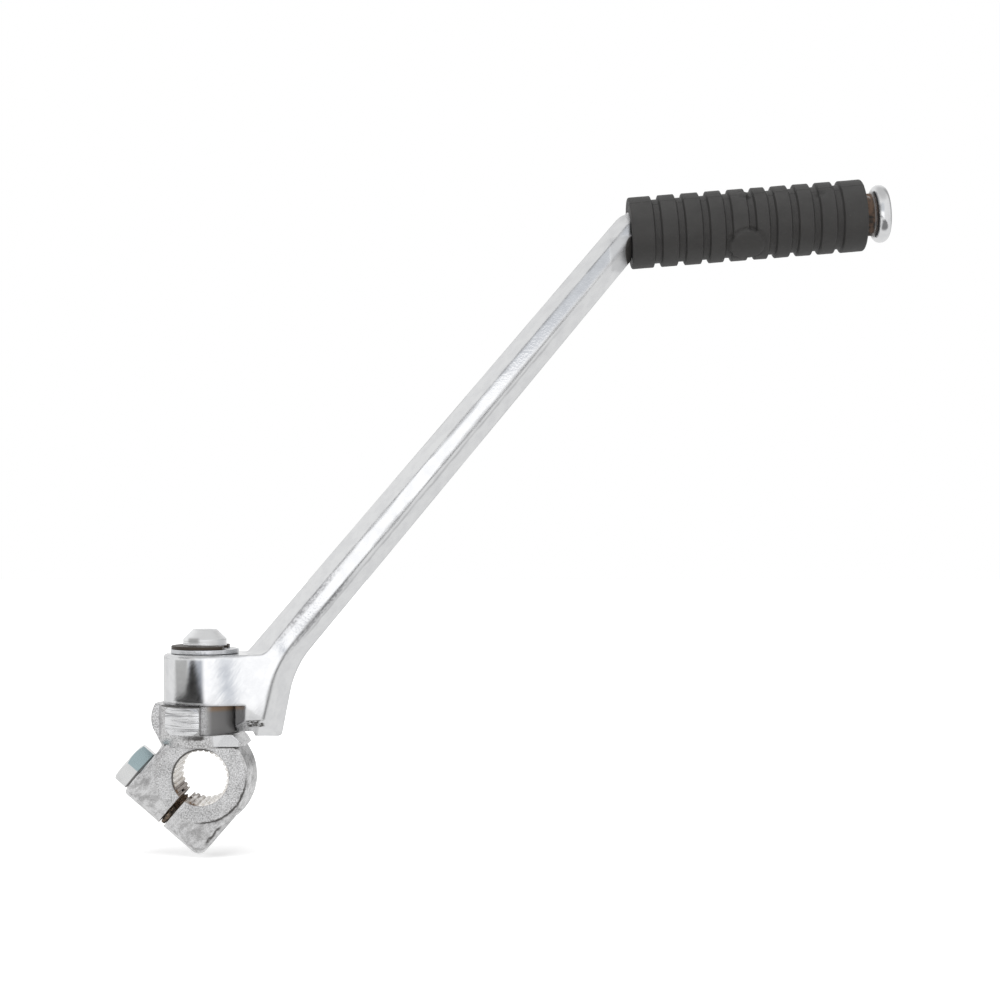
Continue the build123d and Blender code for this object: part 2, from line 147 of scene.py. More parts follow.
# %% Pedal rubber: its radius as a function
def around(angle, centre):
    """Shortest turn from one angle to another, between minus and plus half a turn."""
    return (angle - centre + np.pi) % (2 * np.pi) - np.pi


def sleeve_radius(s, angle):
    """Radius of the sleeve's outer skin at distance s along it and at an angle from its front.

    The plain radius, less a flat-bottomed groove for every gap between ribs, plus a faint waviness and a
    thin bell-shaped ridge along each parting line. Inside the pad and the gate mark a soft-edged disc takes
    over from the ribs, with a bell-shaped moat around it. A small bell-shaped nick is taken away.
    """
    gap = np.abs(s[..., None] - GROOVES).min(axis=-1)
    radius = SLEEVE_R - GROOVE_DEPTH * (1.0 - smooth_step(GROOVE_FLOOR, GROOVE_MOUTH, gap))
    radius = radius + WAVINESS * np.sin(0.41 * s + 2.0 * angle) * np.sin(0.13 * s - angle)
    for line in PARTING_ANGLES:
        radius = radius + PARTING_RISE * np.exp(-((around(angle, line) * SLEEVE_R / PARTING_HALF) ** 2))
    pad = (PAD_ANGLE, PAD_R, PAD_RISE, PAD_MOAT)
    gate = (PARTING_ANGLES[0], GATE_R, GATE_RISE, GATE_MOAT)
    for centre, size, rise, moat in (pad, gate):
        reach = np.hypot(s - PAD_FROM_END, around(angle, centre) * SLEEVE_R)
        disc = 1.0 - smooth_step(size - DISC_SOFT, size, reach)
        radius = radius + disc * (SLEEVE_R + rise - radius)
        radius = radius - moat * np.exp(-(((reach - size - MOAT_HALF) / MOAT_HALF) ** 2))
    nick = np.hypot(s - NICK_PLACE[0], around(angle, NICK_PLACE[1]) * SLEEVE_R) / NICK_R
    return radius - NICK_DEPTH * np.exp(-(nick**2))


# %% [markdown]
# The grid's rows are close together at the edges of the ribs and far apart on their flat tops. Its
# columns are close together at the parting lines. The ends are rounded by a quarter circle and slightly
# dished.

# %% Pedal rubber: the grid
edge_steps = np.array([0.7, 0.85, 0.97, 1.1, 1.23, 1.36, 1.5])
across_groove = np.concatenate([-edge_steps[::-1], [0.0], edge_steps])
groove_rows = (GROOVES[:, None] + across_groove).ravel()
rib_rows = (GROOVES[:-1, None] + np.linspace(1.9, 5.1, 8)).ravel()
end_ribs = np.array([0.9, 2.0, 3.5, 5.0])
plain_rows = np.concatenate([groove_rows, rib_rows, end_ribs, SLEEVE_LENGTH - end_ribs])
end_turn = np.linspace(0, np.pi / 2, 6)
round_in = END_ROUND * (1 - np.cos(end_turn))
round_drop = END_ROUND * (1 - np.sin(end_turn))
outer_s = np.concatenate([round_in, np.sort(plain_rows), SLEEVE_LENGTH - round_in[::-1]])
outer_drop = np.concatenate([round_drop, np.zeros(len(plain_rows)), round_drop[::-1]])

even = np.linspace(0, 2 * np.pi, 216, endpoint=False)
fine = np.radians(np.linspace(-2.6, 2.6, 14))
angles = np.unique(np.concatenate([even, *(line + fine for line in PARTING_ANGLES)]) % (2 * np.pi))

S, A = np.meshgrid(outer_s, angles, indexing="ij")
skin = sleeve_radius(S, A) - outer_drop[:, None]
end_radii = np.array([SLEEVE_BORE_R, 6.9, 7.6, 9.0, 10.0])
end_dish = np.array([0.35, 0.0, 0.25, 0.25, 0.0])
start_rows = np.repeat(end_radii[:, None], len(angles), axis=1)
profile_r = np.vstack([start_rows, skin, start_rows[::-1]])
profile_s = np.concatenate([end_dish, outer_s, SLEEVE_LENGTH - end_dish[::-1]])

height = profile_r[..., None]
sleeve_points = (
    PEDAL_ORIGIN
    + (profile_s[:, None, None] + SLEEVE_START) * PEDAL_ALONG
    + height * np.cos(angles)[None, :, None] * PEDAL_FRONT
    + height * np.sin(angles)[None, :, None] * PEDAL_UP
)
sleeve = grid_piece("pedal_sleeve", sleeve_points * MM, close_rows=True)
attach(sleeve, "lever")
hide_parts("pedal_rubber")
print("ribs between", round(float(skin.min()), 2), "and", round(float(skin.max()), 2), "mm")

# %% [markdown]
# The pinch bolt closes the split clamp. CAD has it with a plain shank, so here it gets its thread, a
# washer face and a chamfered head. The whole bolt is one turned profile: at each angle the hexagon sets
# how far the head reaches, and on the shank the radius follows a triangle wave that climbs one pitch in
# each turn.

# %% Pinch bolt: places
SLIT_ANGLE = math.radians(229.0)
SLIT_OUT = np.array([math.cos(SLIT_ANGLE), 0.0, math.sin(SLIT_ANGLE)])
BOLT_OUT = np.array([SLIT_OUT[2], 0.0, -SLIT_OUT[0]])
BOLT_SIDE = np.cross(BOLT_OUT, SLIT_OUT)
BOLT_CENTRE = 12.2 * SLIT_OUT
SEAT = 15.2
HEAD_TOP = 20.5
TIP = -15.1
FLATS = 13.0
HEAD_TURN = 37.0
CHAMFER_R = 6.05
CHAMFER_SLOPE = math.tan(math.radians(28.0))
WASHER_FACE_R = 6.1
WASHER_FACE = 0.35
THREAD_R = 4.0
THREAD_DEPTH = 0.7
THREAD_PITCH = 1.25
THREAD_END = 12.4
FLANK_GAIN = 1.35
CREST_FLAT = 0.15
TIP_R = 3.1
print("bolt of", round(SEAT - TIP, 1), "mm under its head")

# %% [markdown]
# The rows go from the middle of the head's top to the tip. The chamfer takes more off the corners of the
# hexagon than off its flats, which gives the curved edge that a turned head has.

# %% Pinch bolt: the grid
head_angles = np.radians(np.linspace(HEAD_TURN, HEAD_TURN + 360.0, 72, endpoint=False))
from_flat = (np.degrees(head_angles) - HEAD_TURN) % 60.0 - 30.0
hexagon = FLATS / 2 / np.cos(np.radians(from_flat))
ones = np.ones_like(hexagon)
chamfer_drop = (hexagon - CHAMFER_R) * CHAMFER_SLOPE
head_rows = [
    (0.02 * ones, HEAD_TOP * ones),
    (0.6 * CHAMFER_R * ones, HEAD_TOP * ones),
    (CHAMFER_R * ones, HEAD_TOP * ones),
    ((CHAMFER_R + hexagon) / 2, HEAD_TOP - chamfer_drop / 2),
    (hexagon, HEAD_TOP - chamfer_drop),
    (hexagon, (SEAT + HEAD_TOP) / 2 * ones),
    (hexagon, (SEAT + WASHER_FACE) * ones),
    (WASHER_FACE_R * ones, (SEAT + WASHER_FACE) * ones),
    (WASHER_FACE_R * ones, SEAT * ones),
    (THREAD_R * ones, SEAT * ones),
]


def thread_radius(along, angle):
    """Crest radius less a triangle wave of the height along the bolt plus one pitch for each turn.

    Above the thread's end the shank is plain, and at the tip a 45 degree chamfer limits the radius.
    """
    phase = along / THREAD_PITCH + angle / (2 * np.pi)
    wave = np.abs(2.0 * (phase % 1.0) - 1.0)
    depth = THREAD_DEPTH * np.clip(FLANK_GAIN * wave - CREST_FLAT, 0.0, 1.0)
    depth = depth * (1.0 - smooth_step(THREAD_END - THREAD_PITCH, THREAD_END, along))
    return np.minimum(THREAD_R - depth, TIP_R + along - TIP)


shank_h = np.concatenate([[14.8, 13.6], np.arange(THREAD_END, TIP, -THREAD_PITCH / 10), [TIP]])
H, T = np.meshgrid(shank_h, head_angles, indexing="ij")
bolt_r = np.vstack([np.stack([r for r, _ in head_rows]), thread_radius(H, T)])
bolt_h = np.vstack([np.stack([h for _, h in head_rows]), H])
bolt_points = (
    BOLT_CENTRE
    + bolt_h[..., None] * BOLT_OUT
    + (bolt_r * np.cos(head_angles))[..., None] * SLIT_OUT
    + (bolt_r * np.sin(head_angles))[..., None] * BOLT_SIDE
)
bolt = grid_piece("pinch_bolt_threaded", bolt_points[::-1] * MM, lids=True)
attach(bolt, "joint")
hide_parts("pinch_bolt")

# %% [markdown]
# Years of wet boots have left a crust of rust in the slit, around the outer side of the bolt. It is a
# crescent: a squarish section carried around the bolt's axis, with lumps that are sums of sine waves. It
# stops just short of the slit's walls and of the thread, as loose rust does.

# %% Rust in the slit
RUST_R = (4.12, 7.35)
RUST_HALF = 0.9
RUST_SPAN = math.radians(82.0)
RUST_LUMP = 0.22
RUST_THIN = 0.15
RUST_SQUARE = 0.6


def squarish(wave):
    """A sine or cosine pushed towards plus or minus one, which turns a circle into a rounded square."""
    return np.sign(wave) * np.abs(wave) ** RUST_SQUARE


sweep = np.linspace(-RUST_SPAN, RUST_SPAN, 71)[:, None]
ring = np.linspace(0, 2 * np.pi, 24, endpoint=False)[None, :]
rust_width = (RUST_R[1] - RUST_R[0]) / 2 * np.sqrt(np.cos(sweep))
outer_side = (1.0 + np.cos(ring)) / 2
rust_lumps = RUST_LUMP * outer_side * (np.sin(13 * sweep + 2 * ring) + np.sin(29 * sweep - ring))
rust_r = RUST_R[0] + rust_width * (1.0 + squarish(np.cos(ring))) + rust_lumps
thinned = 1.0 - RUST_THIN + RUST_THIN * np.sin(17 * sweep + ring)
rust_h = RUST_HALF * squarish(np.sin(ring)) * thinned
rust_points = (
    BOLT_CENTRE
    + rust_h[..., None] * BOLT_OUT
    + (rust_r * np.cos(sweep))[..., None] * SLIT_OUT
    + (rust_r * np.sin(sweep))[..., None] * BOLT_SIDE
)
crust = grid_piece("slit_rust", rust_points[::-1] * MM, lids=True)
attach(crust, "joint")

# %% [markdown]
# The detent spring sits out of sight under its ball. CAD has a six-sided wire to keep the solid light.
# Here a round wire is carried along the same helix, in the frame that the helix gives at each point.

# %% Detent spring
SPRING_FOOT = np.array([-8.7006, 4.0571, 11.0])
SPRING_TURNS = 4
SPRING_HEIGHT = 6.357
COIL_R = 1.75
WIRE_R = 0.3
STEPS_IN_TURN = 45
t = np.linspace(0, 1, STEPS_IN_TURN * SPRING_TURNS + 1)[:, None]
wind = 2 * np.pi * SPRING_TURNS * t
outward = np.hstack([np.cos(wind), np.sin(wind), np.zeros_like(t)])
tangent = np.hstack(
    [
        -COIL_R * np.sin(wind),
        COIL_R * np.cos(wind),
        np.full_like(t, SPRING_HEIGHT / (2 * np.pi * SPRING_TURNS)),
    ]
)
tangent = tangent / np.linalg.norm(tangent, axis=1, keepdims=True)
upward = np.cross(tangent, outward)
centre_line = SPRING_FOOT + COIL_R * outward + np.hstack([0 * t, 0 * t, SPRING_HEIGHT * t])
section = np.linspace(0, 2 * np.pi, 12, endpoint=False)[None, :, None]
spring_points = centre_line[:, None] + WIRE_R * (
    np.cos(section) * outward[:, None] + np.sin(section) * upward[:, None]
)
spring = grid_piece("detent_spring_wire", spring_points * MM, lids=True)
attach(spring, "joint")
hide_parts("detent_spring")

# %% [markdown]
# The other pieces keep their CAD meshes. Those are loose triangles, so they would shade as flat facets.
# Three modifiers mend that without touching the mesh: one welds the triangles, one splits them again
# along sharp edges, and one weights the normals by area, so that flats stay flat right up to their
# rounded edges. The washer and the ring also get a small bevel, since stamped edges are never quite
# sharp.


# %% Smooth shading on the CAD pieces
SHARP = math.radians(28.0)
BEVEL_FROM = math.radians(40.0)
WELD = 0.002


def shade_cad(node, edge=0.0):
    """Smooth shading up to sharp edges, which can be broken by a small bevel, in millimetres."""
    piece = nodes[node]
    piece.data.polygons.foreach_set("use_smooth", np.ones(len(piece.data.polygons), bool))
    weld = piece.modifiers.new("weld", "WELD")
    weld.merge_threshold = WELD * MM
    if edge:
        bevel = piece.modifiers.new("broken_edges", "BEVEL")
        bevel.width = edge * MM
        bevel.segments = 2
        bevel.limit_method = "ANGLE"
        bevel.angle_limit = BEVEL_FROM
    split = piece.modifiers.new("sharp_edges", "EDGE_SPLIT")
    split.split_angle = SHARP
    split.use_edge_sharp = False
    weighted = piece.modifiers.new("flat_faces", "WEIGHTED_NORMAL")
    weighted.weight = 100
    print(node, "shaded")


shade_cad("kick_joint")
shade_cad("kick_lever")
shade_cad("thrust_washer", edge=0.15)
shade_cad("retaining_ring", edge=0.12)
shade_cad("detent_ball")
bolt_split = bolt.modifiers.new("sharp_edges", "EDGE_SPLIT")
bolt_split.split_angle = SHARP

# %% [markdown]
# All finishes are node trees that read Object coordinates. These helpers keep them short: one adds a node
# and fills its sockets, and the others do a single step of arithmetic or mix two values.


# %% Helpers for finishes: nodes and sums
def put(tree, kind, inputs=(), **settings):
    """Adds a shader node, sets its options, and fills its sockets from numbers or from other sockets."""
    made = tree.nodes.new("ShaderNode" + kind)
    for key, value in settings.items():
        setattr(made, key, value)
    for key, value in dict(inputs).items():
        if isinstance(value, bpy.types.NodeSocket):
            tree.links.new(value, made.inputs[key])
        else:
            made.inputs[key].default_value = value
    return made


def calc(tree, operation, *values):
    """The result of one step of arithmetic, named as the Math node names it."""
    return put(tree, "Math", dict(enumerate(values)), operation=operation).outputs[0]


def both(tree, *masks):
    """The product of several masks or numbers."""
    product = masks[0]
    for other in masks[1:]:
        product = calc(tree, "MULTIPLY", product, other)
    return product


def most(tree, *masks):
    """The largest of several masks."""
    largest = masks[0]
    for other in masks[1:]:
        largest = calc(tree, "MAXIMUM", largest, other)
    return largest


def all_but(tree, cover):
    """One minus a mask."""
    return calc(tree, "SUBTRACT", 1.0, cover)


def length(tree, one, other):
    """Square root of the sum of two squares."""
    squares = [calc(tree, "MULTIPLY", v, v) for v in (one, other)]
    return calc(tree, "SQRT", calc(tree, "ADD", *squares))


def tint(tree, factor, one, other):
    """A colour that goes evenly from one to the other as the factor goes from 0 to 1."""
    return put(tree, "Mix", {0: factor, 6: one, 7: other}, data_type="RGBA").outputs[2]


def blend(tree, factor, one, other):
    """A number that goes evenly from one to the other as the factor goes from 0 to 1."""
    return put(tree, "Mix", {0: factor, 2: one, 3: other}, data_type="FLOAT").outputs[0]


# %% [markdown]
# Wear belongs to places: an edge, a neck, a patch. The next helpers find a place. They measure how far a
# point is along a direction, and turn that distance into a mask with soft borders. Object coordinates are
# in metres, but the places are written in millimetres, as in the CAD model.


# %% Helpers for finishes: places
def mask(tree, value, low, high):
    """Soft mask that is 0 where the value is at low and 1 where it is at high. Low may be the larger."""
    sockets = {"Value": value, "From Min": low, "From Max": high}
    return put(tree, "MapRange", sockets, interpolation_type="SMOOTHSTEP").outputs["Result"]


def past(tree, value, low, high):
    """The same soft mask for a value in metres, with low and high in millimetres."""
    return mask(tree, value, low * MM, high * MM)


def window(tree, value, low, high, soft):
    """1 where a value in metres is between two places in millimetres, with a soft border around them."""
    above_low = past(tree, value, low - soft, low + soft)
    below_high = past(tree, value, high + soft, high - soft)
    return both(tree, above_low, below_high)


def distance(tree, place, direction, start=(0, 0, 0)):
    """Metres to a place along a direction, from a start in millimetres: one dot product less another."""
    made = put(tree, "VectorMath", {0: place, 1: tuple(direction)}, operation="DOT_PRODUCT")
    return calc(tree, "SUBTRACT", made.outputs["Value"], float(np.dot(start, direction)) * MM)


def wander(tree, value, field, width):
    """A value plus a noise less a half, times a width in millimetres, which makes a border ragged."""
    return calc(tree, "ADD", value, both(tree, calc(tree, "SUBTRACT", field, 0.5), width * MM))


# %% [markdown]
# The last helpers start a material, give it noise and relief, and put it on a piece.


# %% Helpers for finishes: materials
def new_finish(name):
    """An empty material with its shader and its Object coordinates: (material, tree, shader, place)."""
    material = bpy.data.materials.new(name)
    material.use_nodes = True
    tree = material.node_tree
    shader = tree.nodes["Principled BSDF"]
    place = put(tree, "TexCoord").outputs["Object"]
    return material, tree, shader, place


def noise(tree, place, scale, detail=3.0, roughness=0.5, stretch=None, turn=(0, 0, 0)):
    """Noise with so many waves to the metre. It can be drawn out so many times along turned axes."""
    if stretch:
        sockets = {"Vector": place, "Rotation": turn, "Scale": stretch}
        place = put(tree, "Mapping", sockets, vector_type="TEXTURE").outputs["Vector"]
    sockets = {"Vector": place, "Scale": scale, "Detail": detail, "Roughness": roughness}
    return put(tree, "TexNoise", sockets).outputs["Fac"]


def bump(tree, height, depth, strength=1.0, normal=None):
    """A normal that leans as a relief would: a height from 0 to 1 times a depth in metres."""
    sockets = {"Height": height, "Distance": depth, "Strength": strength}
    if normal is not None:
        sockets["Normal"] = normal
    return put(tree, "Bump", sockets).outputs["Normal"]


def wear(piece, material):
    """Puts a finish on a piece, in its first slot."""
    if not piece.data.materials:
        piece.data.materials.append(material)
    piece.material_slots[0].material = material
    print(piece.name, "wears", material.name)


# %% [markdown]
# The lever is polished by hand before it is chromed, so its faces are bright but never quite flat. A
# broad, very shallow noise bends the reflections, and a finer one, drawn out along the arm, is left by
# the polishing wheel. The Bevel node rounds the creases in the shading alone, as the wheel does on the
# real edges, here more and there less.

# %% Polished chrome: its surface
ARM_TURN = (0.0, math.radians(-50.0), 0.0)
EDGE_R = (0.7 * MM, 2.1 * MM)
WAVE_DEPTH = 0.05
WHEEL_DEPTH = 0.009
chrome, tree, shader, place = new_finish("polished_chrome")
uneven = mask(tree, noise(tree, place, 75.0, 2.0), 0.3, 0.7)
rounded = put(tree, "Bevel", {"Radius": blend(tree, uneven, *EDGE_R)}, samples=4).outputs["Normal"]
broad = noise(tree, place, 45.0, 1.0)
polish = noise(tree, place, 420.0, 3.0, 0.65, stretch=(5, 1, 1), turn=ARM_TURN)
waves = bump(tree, broad, WAVE_DEPTH * MM, 0.7, rounded)
wheel_marks = bump(tree, polish, WHEEL_DEPTH * MM, 1.0, waves)
print("chrome waves are at most", WAVE_DEPTH, "mm deep, and wheel marks", WHEEL_DEPTH, "mm")

# %% [markdown]
# Along the creases of the arm a painted shade darkens the plating, where the rounded edges would mirror
# darker surroundings. A crease is wherever the rounded normal leaves the plain one, so the same Bevel node
# finds it. A second painted dark line, below the front, is the shade of the lower edge that the polisher
# eased: a straight band in coordinates along the arm and across it. Near the root both edges get a grainy
# painted shade.

# %% Polished chrome: painted shade along the creases
ARM_ROOT = np.array([15.8, 0.0, 29.9])
ARM_ALONG = np.array([0.643, 0.0, 0.766])
ARM_UP = np.array([-0.766, 0.0, 0.643])
LINE_FALL = 0.005
LINE_WANDER = 0.8
face_normal = put(tree, "NewGeometry").outputs["Normal"]
agree = put(tree, "VectorMath", {0: rounded, 1: face_normal}, operation="DOT_PRODUCT").outputs["Value"]
crease = mask(tree, agree, 0.995, 0.93)
broken = noise(tree, place, 160.0, 3.0, 0.6)
along = distance(tree, place, ARM_ALONG, ARM_ROOT)
up = distance(tree, place, ARM_UP, ARM_ROOT)
fallen = calc(tree, "SUBTRACT", up, both(tree, along, LINE_FALL))
# the place of the painted dark line below the front
ground_line = both(
    tree,
    window(tree, wander(tree, fallen, broken, LINE_WANDER), -4.0, -3.7, 0.35),
    window(tree, along, 20.0, 140.0, 8.0),
)
grit = mask(tree, noise(tree, place, 1000.0, 3.0, 0.7), 0.62, 0.4)
# grainy painted shade along both edges near the root
root_edges = most(tree, window(tree, up, 1.0, 2.4, 0.5), window(tree, up, -3.4, -2.1, 0.5))
root_shade = both(tree, root_edges, window(tree, along, 15.0, 42.0, 7.0), blend(tree, grit, 0.35, 1.0))
print("the dull line wanders by", LINE_WANDER / 2, "mm to each side")

# %% [markdown]
# Near the pedal and near the root the plating shows a fine orange peel, which breaks the reflections into
# specks. It is one more bump, kept to those two stretches by windows along the arm.

# %% Polished chrome: orange peel
PEEL_ROOT = (16.0, 40.0, 8.0)
PEEL_END = (112.0, 185.0, 25.0)
PEEL_DEPTH = 0.03
peeled = most(tree, window(tree, along, *PEEL_ROOT), window(tree, along, *PEEL_END))
peel = both(tree, noise(tree, place, 1500.0, 2.0, 0.6), peeled)
tree.links.new(bump(tree, peel, PEEL_DEPTH * MM, 1.0, wheel_marks), shader.inputs["Normal"])
print("orange peel", PEEL_DEPTH, "mm deep from", PEEL_END[0], "mm along the arm")

# %% [markdown]
# Three places on the lever are marked. The bare neck between the rubber and the button has rusted, black
# rubber has rubbed off on the arm's end, and a dark, speckled patch lies along the crease of the toe. The
# smear of rubber is an ellipse: two distances, each divided by its half width.

# %% Polished chrome: rust, smear and the dark patch at the toe
NECK_AT = SLEEVE_START + SLEEVE_LENGTH
SMEAR_HALF = (2.1 * MM, 4.2 * MM)
SMEAR_DROP = 6.2 * MM
x, y, z = put(tree, "SeparateXYZ", {0: place}).outputs
past_start = distance(tree, place, PEDAL_ALONG, PEDAL_ORIGIN)
above = distance(tree, place, PEDAL_UP, PEDAL_ORIGIN)
in_neck = window(tree, past_start, NECK_AT - 0.5, NECK_AT + 3.1, 0.4)
rust = both(tree, in_neck, mask(tree, noise(tree, place, 330.0, 4.0, 0.65), 0.24, 0.4))
smear_a = calc(tree, "DIVIDE", past_start, SMEAR_HALF[0])
smear_b = calc(tree, "DIVIDE", calc(tree, "ADD", above, SMEAR_DROP), SMEAR_HALF[1])
smear = mask(tree, length(tree, smear_a, smear_b), 1.08, 0.92)
rubbed = both(tree, window(tree, past_start, -7.0, 0.5, 0.8), window(tree, above, -12.0, -1.5, 0.8))
# a dark, speckled patch along the crease of the toe
at_toe = both(
    tree,
    window(tree, x, 14.2, 19.2, 0.5),
    window(tree, z, 15.2, 17.7, 0.3),
    past(tree, y, -3.0, -4.0),
)
toe_patch = both(tree, at_toe, mask(tree, noise(tree, place, 900.0, 3.0, 0.6), 0.62, 0.45))
print("the rusted neck starts", NECK_AT, "mm along the pedal")

# %% [markdown]
# The colours lie one over the other in the order in which they came: plating, the painted shade of the
# creases, the dark patch at the toe, rust and the smear. Rust and rubber aren't metal, so where they lie
# the metallic shine goes too.

# %% Polished chrome: its colours
CHROME = ((0.735, 0.74, 0.75, 1), (0.795, 0.8, 0.805, 1))
EDGE_SHADE_GREY = (0.3, 0.3, 0.31, 1)
TOE_DARK = (0.06, 0.055, 0.05, 1)
NECK_RUST = ((0.02, 0.019, 0.018, 1), (0.12, 0.075, 0.05, 1))
SMEAR_BLACK = (0.05, 0.048, 0.046, 1)
POLISHED = (0.04, 0.1)
WORN_ROUGH = 0.75
plating = tint(tree, mask(tree, noise(tree, place, 260.0, 3.0, 0.6), 0.3, 0.65), *CHROME)
# painted shade: the creases, the eased lower edge and the root's edges turn towards a grey
crease_shade = both(tree, crease, mask(tree, broken, 0.25, 0.6))
ground_line_shade = both(tree, ground_line, mask(tree, broken, 0.1, 0.6))
painted_edge_shade = most(tree, crease_shade, both(tree, ground_line_shade, 0.7), both(tree, root_shade, 0.9))
colour = tint(tree, painted_edge_shade, plating, EDGE_SHADE_GREY)
colour = tint(tree, toe_patch, colour, TOE_DARK)
neck_flakes = mask(tree, noise(tree, place, 480.0, 4.0, 0.7), 0.35, 0.62)
colour = tint(tree, rust, colour, tint(tree, neck_flakes, *NECK_RUST))
tree.links.new(tint(tree, smear, colour, SMEAR_BLACK), shader.inputs["Base Color"])
covered = most(tree, rust, smear)
tree.links.new(all_but(tree, covered), shader.inputs["Metallic"])
worn = most(tree, covered, both(tree, toe_patch, 0.5), both(tree, rubbed, 0.75))
shine = blend(tree, polish, *POLISHED)
tree.links.new(blend(tree, worn, shine, WORN_ROUGH), shader.inputs["Roughness"])
wear(nodes["kick_lever"], chrome)

# %% [markdown]
# The joint went from the hammer almost straight into the chrome bath, so its skin is sandy. A few areas
# were turned, bored or sawn: a patch on the boss, the relief that the lever's tail sweeps past, the shelf
# beside it, the spigot, the toothed bore and the slit. Each is a window in the piece's own coordinates.
# The patch is a rectangle with round corners: how far a point is beyond a smaller rectangle is compared
# with the radius.

# %% Forged chrome: machined areas
PATCH_X = (-10.8, 0.5)
PATCH_Z = (13.3, 22.0)
PATCH_ROUND = 3.0
PATCH_SOFT = 0.1
forged, tree, shader, place = new_finish("forged_chrome")
x, y, z = put(tree, "SeparateXYZ", {0: place}).outputs
from_pivot = length(tree, x, y)
from_shaft = length(tree, x, z)
across_slit = distance(tree, place, BOLT_OUT)
along_slit = distance(tree, place, SLIT_OUT)
beyond = []
for value, (low, high) in ((x, PATCH_X), (z, PATCH_Z)):
    off = calc(tree, "ABSOLUTE", calc(tree, "SUBTRACT", value, (low + high) / 2 * MM))
    inner = ((high - low) / 2 - PATCH_ROUND) * MM
    beyond.append(calc(tree, "MAXIMUM", calc(tree, "SUBTRACT", off, inner), 0.0))
in_patch = past(tree, length(tree, *beyond), PATCH_ROUND + PATCH_SOFT, PATCH_ROUND - PATCH_SOFT)
patch = both(tree, in_patch, past(tree, from_pivot, 13.2, 13.6), past(tree, y, -8.5, -8.8))
in_relief = both(tree, past(tree, from_pivot, 10.7, 10.3), window(tree, z, 13.25, 22.3, 0.1))
relief = both(tree, in_relief, past(tree, x, 1.4, 4.0))
shelf = both(
    tree,
    window(tree, x, 4.0, 12.5, 0.5),
    window(tree, z, 9.6, 13.1, 0.15),
    past(tree, y, -9.2, -9.4),
)
spigot = past(tree, z, 37.4, 37.7)
bore = both(tree, past(tree, from_shaft, 8.8, 8.6), past(tree, z, 10.4, 10.2))
slit = both(tree, window(tree, across_slit, -1.06, 1.06, 0.05), past(tree, along_slit, 7.8, 8.8))
machined = most(tree, patch, relief, shelf, spigot)
print("forged chrome has", len(tree.nodes), "nodes for its machined areas")

# %% [markdown]
# The ends of the ears and the side of the ring are smoother than the rest, with dents in place of sand.
# On the ears the border of the smoother skin wanders with the lumps of the forging.

# %% Forged chrome: smoothed skin
EAR_WANDER = 6.0
lumps = noise(tree, place, 230.0, 3.0, 0.55)
ear_ends = past(tree, wander(tree, along_slit, lumps, EAR_WANDER), 12.0, 15.5)
ring_side = both(tree, past(tree, from_shaft, 13.4, 14.1), past(tree, z, 10.5, 9.0))
smooth_skin = most(tree, ear_ends, ring_side)
print("the border on the ears wanders by", EAR_WANDER / 2, "mm to each side")

# %% [markdown]
# Dark lines run along the ear and along the ring's lower right edge. Painted shadows lie under the patch,
# under the shelf, at the hub's top under the lever's eye, and on the upper rim of the bore's mouth. Each is
# a narrow window, some with a ragged border, and all show only on the front.

# %% Forged chrome: dark lines and painted shadows
RING_LOW = (0.643, 0.0, -0.766)
BORE_HIGH = (-0.707, 0.0, 0.707)
LINE_RAGGED = 1.6
low_right = distance(tree, place, RING_LOW)
high_left = distance(tree, place, BORE_HIGH)
ragged = noise(tree, place, 500.0, 3.0, 0.6)
ring_line = both(
    tree,
    window(tree, wander(tree, from_shaft, ragged, LINE_RAGGED), 13.5, 14.1, 0.25),
    past(tree, low_right, 8.5, 11.5),
)
ear_line = both(
    tree,
    window(tree, wander(tree, across_slit, ragged, LINE_RAGGED), -14.8, -14.0, 0.35),
    window(tree, along_slit, 7.5, 14.5, 1.0),
)
# painted shadows under the patch, under the shelf, on the bore's upper rim and under the lever's eye
shadow_under_patch = both(
    tree,
    window(tree, wander(tree, z, ragged, LINE_RAGGED), 11.9, 13.3, 0.4),
    past(tree, x, -8.0, 0.0),
    past(tree, x, 2.5, 1.0),
)
shadow_under_shelf = both(tree, window(tree, z, 9.0, 9.55, 0.15), window(tree, x, 5.0, 13.0, 1.0))
bore_rim_shadow = both(tree, window(tree, from_shaft, 8.3, 8.9, 0.15), past(tree, high_left, 1.0, 5.0))
shadow_under_eye = window(tree, z, 21.7, 22.4, 0.15)
lines = [ring_line, ear_line, shadow_under_patch, shadow_under_shelf, bore_rim_shadow, shadow_under_eye]
dark_lines_and_shadows = both(tree, most(tree, *lines), past(tree, y, -6.0, -7.5), mask(tree, ragged, 0.22, 0.42))
print("the joint has", len(lines), "dark lines")

# %% [markdown]
# The sandy skin is a fine grain between two greys, which themselves drift with the lumps. The dents of
# the smoother skin are a noise drawn out a little along the ears. To the right of the patch, up to the
# relief, the skin is dimmer.

# %% Forged chrome: colour of the skin
SAND_DARK = ((0.24, 0.238, 0.238, 1), (0.5, 0.497, 0.495, 1))
SAND_LIGHT = ((0.78, 0.778, 0.78, 1), (0.9, 0.9, 0.905, 1))
DENTED = ((0.38, 0.377, 0.377, 1), (0.81, 0.81, 0.815, 1))
TURNED = (0.84, 0.845, 0.855, 1)
grain = noise(tree, place, 2300.0, 2.5, 0.65)
speck = mask(tree, grain, 0.3, 0.66)
patchy = mask(tree, lumps, 0.3, 0.7)
colour = tint(tree, speck, tint(tree, patchy, *SAND_DARK), tint(tree, patchy, *SAND_LIGHT))
streaks = noise(tree, place, 420.0, 4.0, 0.7, stretch=(1, 1, 2), turn=(0.0, SLIT_ANGLE, 0.0))
dents = tint(tree, mask(tree, streaks, 0.34, 0.6), *DENTED)
colour = tint(tree, both(tree, smooth_skin, 0.7), colour, dents)
colour = tint(tree, machined, colour, TURNED)
